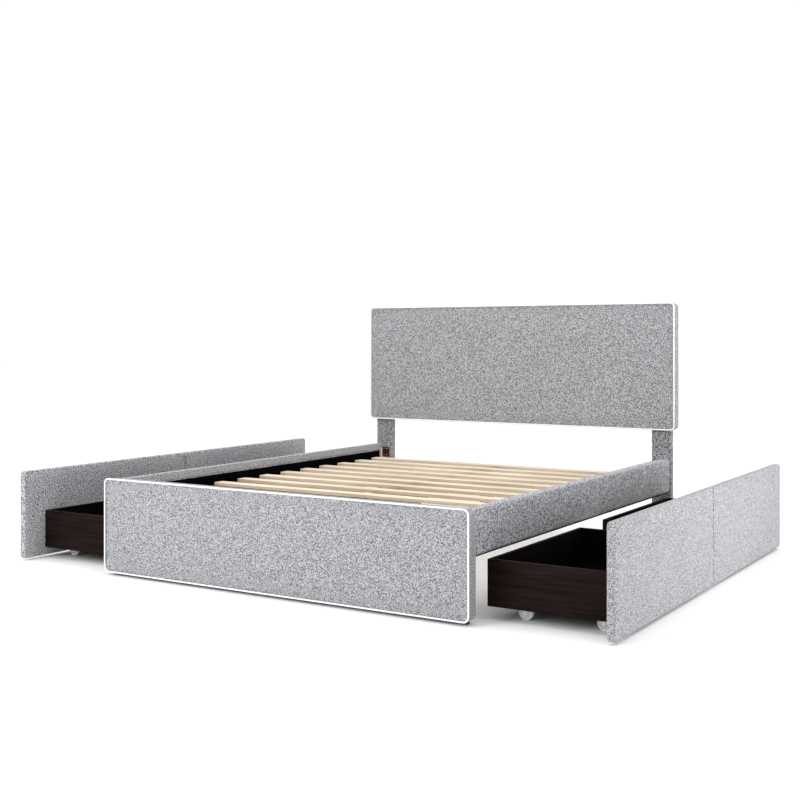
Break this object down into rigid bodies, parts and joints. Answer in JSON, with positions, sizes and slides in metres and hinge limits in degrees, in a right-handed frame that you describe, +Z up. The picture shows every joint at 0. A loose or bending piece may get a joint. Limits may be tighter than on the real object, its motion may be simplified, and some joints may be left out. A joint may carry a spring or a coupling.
{
  "type": "platform bed with storage drawers",
  "caption": "Upholstered platform bed with a padded headboard on posts, a slatted deck between side rails, and storage drawers on casters that roll out from under both sides.",
  "frame": {"origin": "on the floor, at the middle of the underside of the foot of the middle centre leg, which is midway between the front of the footboard and the back of the headboard", "axes": "+X across the bed to the right as seen from its foot end, +Y from the footboard to the headboard, +Z up"},
  "size_m": [2.661, 2.1772, 1.1302],
  "materials": {
    "grey_fabric": "light grey heathered bouclé-like weave",
    "white_piping": "white cloth-covered cord",
    "pine_slats": "planed pale pine",
    "raw_timber": "unfinished softwood and plywood",
    "black_board": "black stained board",
    "espresso_wood": "dark espresso wood-grain laminate, satin",
    "backing_cloth": "black non-woven dust cloth",
    "bracket_paint": "dark red-brown paint",
    "zinc_steel": "bright zinc plate",
    "caster_nylon": "white nylon",
    "wheel_plastic": "translucent white plastic",
    "glide_plastic": "black plastic"
  },
  "bodies": {
    "bed_frame": {"headboard_board": "raw_timber", "headboard_frame": "raw_timber", "headboard_back": "backing_cloth", "headboard_cover": "grey_fabric", "headboard_piping": "white_piping", "headboard_posts": "raw_timber", "post_covers": "grey_fabric", "footboard_board": "raw_timber", "footboard_cover": "grey_fabric", "footboard_piping": "white_piping", "side_rail_boards": "black_board", "side_rail_covers": "grey_fabric", "rail_end_blocks": "raw_timber", "corner_brackets": "bracket_paint", "bracket_screws": "zinc_steel", "slat_ledges": "black_board", "slats": "pine_slats", "centre_beam": "black_board", "centre_legs": "black_board", "floor_glides": "glide_plastic"},
    "right_foot_drawer": {"right_foot_front_board": "raw_timber", "right_foot_front_cover": "grey_fabric", "right_foot_box_walls": "espresso_wood", "right_foot_box_bottom": "espresso_wood", "right_foot_caster_frames": "caster_nylon", "right_foot_caster_axles": "zinc_steel"},
    "right_foot_wheel_inner_near": {"right_foot_wheel_inner_near": "wheel_plastic"},
    "right_foot_wheel_inner_far": {"right_foot_wheel_inner_far": "wheel_plastic"},
    "right_foot_wheel_outer_near": {"right_foot_wheel_outer_near": "wheel_plastic"},
    "right_foot_wheel_outer_far": {"right_foot_wheel_outer_far": "wheel_plastic"},
    "right_head_drawer": {"right_head_front_board": "raw_timber", "right_head_front_cover": "grey_fabric", "right_head_box_walls": "espresso_wood", "right_head_box_bottom": "espresso_wood", "right_head_caster_frames": "caster_nylon", "right_head_caster_axles": "zinc_steel"},
    "right_head_wheel_inner_near": {"right_head_wheel_inner_near": "wheel_plastic"},
    "right_head_wheel_inner_far": {"right_head_wheel_inner_far": "wheel_plastic"},
    "right_head_wheel_outer_near": {"right_head_wheel_outer_near": "wheel_plastic"},
    "right_head_wheel_outer_far": {"right_head_wheel_outer_far": "wheel_plastic"},
    "left_foot_drawer": {"left_foot_front_board": "raw_timber", "left_foot_front_cover": "grey_fabric", "left_foot_box_walls": "espresso_wood", "left_foot_box_bottom": "espresso_wood", "left_foot_caster_frames": "caster_nylon", "left_foot_caster_axles": "zinc_steel"},
    "left_foot_wheel_inner_near": {"left_foot_wheel_inner_near": "wheel_plastic"},
    "left_foot_wheel_inner_far": {"left_foot_wheel_inner_far": "wheel_plastic"},
    "left_foot_wheel_outer_near": {"left_foot_wheel_outer_near": "wheel_plastic"},
    "left_foot_wheel_outer_far": {"left_foot_wheel_outer_far": "wheel_plastic"},
    "left_head_drawer": {"left_head_front_board": "raw_timber", "left_head_front_cover": "grey_fabric", "left_head_box_walls": "espresso_wood", "left_head_box_bottom": "espresso_wood", "left_head_caster_frames": "caster_nylon", "left_head_caster_axles": "zinc_steel"},
    "left_head_wheel_inner_near": {"left_head_wheel_inner_near": "wheel_plastic"},
    "left_head_wheel_inner_far": {"left_head_wheel_inner_far": "wheel_plastic"},
    "left_head_wheel_outer_near": {"left_head_wheel_outer_near": "wheel_plastic"},
    "left_head_wheel_outer_far": {"left_head_wheel_outer_far": "wheel_plastic"}
  },
  "joints": [
    {"name": "right_foot_drawer_roll", "type": "slide", "parent": "bed_frame", "child": "right_foot_drawer", "axis": [1, 0, 0], "range_m": [-0.459, 0.15]},
    {"name": "right_foot_wheel_inner_near_spin", "type": "hinge", "parent": "right_foot_drawer", "child": "right_foot_wheel_inner_near", "pos_m": [0.933, -0.873, 0.025], "axis": [0, 1, 0], "continuous": true},
    {"name": "right_foot_wheel_inner_far_spin", "type": "hinge", "parent": "right_foot_drawer", "child": "right_foot_wheel_inner_far", "pos_m": [0.933, -0.2245, 0.025], "axis": [0, 1, 0], "continuous": true},
    {"name": "right_foot_wheel_outer_near_spin", "type": "hinge", "parent": "right_foot_drawer", "child": "right_foot_wheel_outer_near", "pos_m": [1.211, -0.873, 0.025], "axis": [0, 1, 0], "continuous": true},
    {"name": "right_foot_wheel_outer_far_spin", "type": "hinge", "parent": "right_foot_drawer", "child": "right_foot_wheel_outer_far", "pos_m": [1.211, -0.2245, 0.025], "axis": [0, 1, 0], "continuous": true},
    {"name": "right_head_drawer_roll", "type": "slide", "parent": "bed_frame", "child": "right_head_drawer", "axis": [1, 0, 0], "range_m": [-0.459, 0.15]},
    {"name": "right_head_wheel_inner_near_spin", "type": "hinge", "parent": "right_head_drawer", "child": "right_head_wheel_inner_near", "pos_m": [0.933, 0.209, 0.025], "axis": [0, 1, 0], "continuous": true},
    {"name": "right_head_wheel_inner_far_spin", "type": "hinge", "parent": "right_head_drawer", "child": "right_head_wheel_inner_far", "pos_m": [0.933, 0.8575, 0.025], "axis": [0, 1, 0], "continuous": true},
    {"name": "right_head_wheel_outer_near_spin", "type": "hinge", "parent": "right_head_drawer", "child": "right_head_wheel_outer_near", "pos_m": [1.211, 0.209, 0.025], "axis": [0, 1, 0], "continuous": true},
    {"name": "right_head_wheel_outer_far_spin", "type": "hinge", "parent": "right_head_drawer", "child": "right_head_wheel_outer_far", "pos_m": [1.211, 0.8575, 0.025], "axis": [0, 1, 0], "continuous": true},
    {"name": "left_foot_drawer_roll", "type": "slide", "parent": "bed_frame", "child": "left_foot_drawer", "axis": [-1, 0, 0], "range_m": [-0.49, 0.15]},
    {"name": "left_foot_wheel_inner_near_spin", "type": "hinge", "parent": "left_foot_drawer", "child": "left_foot_wheel_inner_near", "pos_m": [-0.964, -0.835, 0.025], "axis": [0, 1, 0], "continuous": true},
    {"name": "left_foot_wheel_inner_far_spin", "type": "hinge", "parent": "left_foot_drawer", "child": "left_foot_wheel_inner_far", "pos_m": [-0.964, -0.1865, 0.025], "axis": [0, 1, 0], "continuous": true},
    {"name": "left_foot_wheel_outer_near_spin", "type": "hinge", "parent": "left_foot_drawer", "child": "left_foot_wheel_outer_near", "pos_m": [-1.242, -0.835, 0.025], "axis": [0, 1, 0], "continuous": true},
    {"name": "left_foot_wheel_outer_far_spin", "type": "hinge", "parent": "left_foot_drawer", "child": "left_foot_wheel_outer_far", "pos_m": [-1.242, -0.1865, 0.025], "axis": [0, 1, 0], "continuous": true},
    {"name": "left_head_drawer_roll", "type": "slide", "parent": "bed_frame", "child": "left_head_drawer", "axis": [-1, 0, 0], "range_m": [-0.49, 0.15]},
    {"name": "left_head_wheel_inner_near_spin", "type": "hinge", "parent": "left_head_drawer", "child": "left_head_wheel_inner_near", "pos_m": [-0.964, 0.247, 0.025], "axis": [0, 1, 0], "continuous": true},
    {"name": "left_head_wheel_inner_far_spin", "type": "hinge", "parent": "left_head_drawer", "child": "left_head_wheel_inner_far", "pos_m": [-0.964, 0.8955, 0.025], "axis": [0, 1, 0], "continuous": true},
    {"name": "left_head_wheel_outer_near_spin", "type": "hinge", "parent": "left_head_drawer", "child": "left_head_wheel_outer_near", "pos_m": [-1.242, 0.247, 0.025], "axis": [0, 1, 0], "continuous": true},
    {"name": "left_head_wheel_outer_far_spin", "type": "hinge", "parent": "left_head_drawer", "child": "left_head_wheel_outer_far", "pos_m": [-1.242, 0.8955, 0.025], "axis": [0, 1, 0], "continuous": true}
  ],
  "couplings": [
    {"joint": "right_foot_wheel_inner_near_spin", "follows": "right_foot_drawer_roll", "rad_per_m": 40},
    {"joint": "right_foot_wheel_inner_far_spin", "follows": "right_foot_drawer_roll", "rad_per_m": 40},
    {"joint": "right_foot_wheel_outer_near_spin", "follows": "right_foot_drawer_roll", "rad_per_m": 40},
    {"joint": "right_foot_wheel_outer_far_spin", "follows": "right_foot_drawer_roll", "rad_per_m": 40},
    {"joint": "right_head_wheel_inner_near_spin", "follows": "right_head_drawer_roll", "rad_per_m": 40},
    {"joint": "right_head_wheel_inner_far_spin", "follows": "right_head_drawer_roll", "rad_per_m": 40},
    {"joint": "right_head_wheel_outer_near_spin", "follows": "right_head_drawer_roll", "rad_per_m": 40},
    {"joint": "right_head_wheel_outer_far_spin", "follows": "right_head_drawer_roll", "rad_per_m": 40},
    {"joint": "left_foot_wheel_inner_near_spin", "follows": "left_foot_drawer_roll", "rad_per_m": -40},
    {"joint": "left_foot_wheel_inner_far_spin", "follows": "left_foot_drawer_roll", "rad_per_m": -40},
    {"joint": "left_foot_wheel_outer_near_spin", "follows": "left_foot_drawer_roll", "rad_per_m": -40},
    {"joint": "left_foot_wheel_outer_far_spin", "follows": "left_foot_drawer_roll", "rad_per_m": -40},
    {"joint": "left_head_wheel_inner_near_spin", "follows": "left_head_drawer_roll", "rad_per_m": -40},
    {"joint": "left_head_wheel_inner_far_spin", "follows": "left_head_drawer_roll", "rad_per_m": -40},
    {"joint": "left_head_wheel_outer_near_spin", "follows": "left_head_drawer_roll", "rad_per_m": -40},
    {"joint": "left_head_wheel_outer_far_spin", "follows": "left_head_drawer_roll", "rad_per_m": -40}
  ]
}
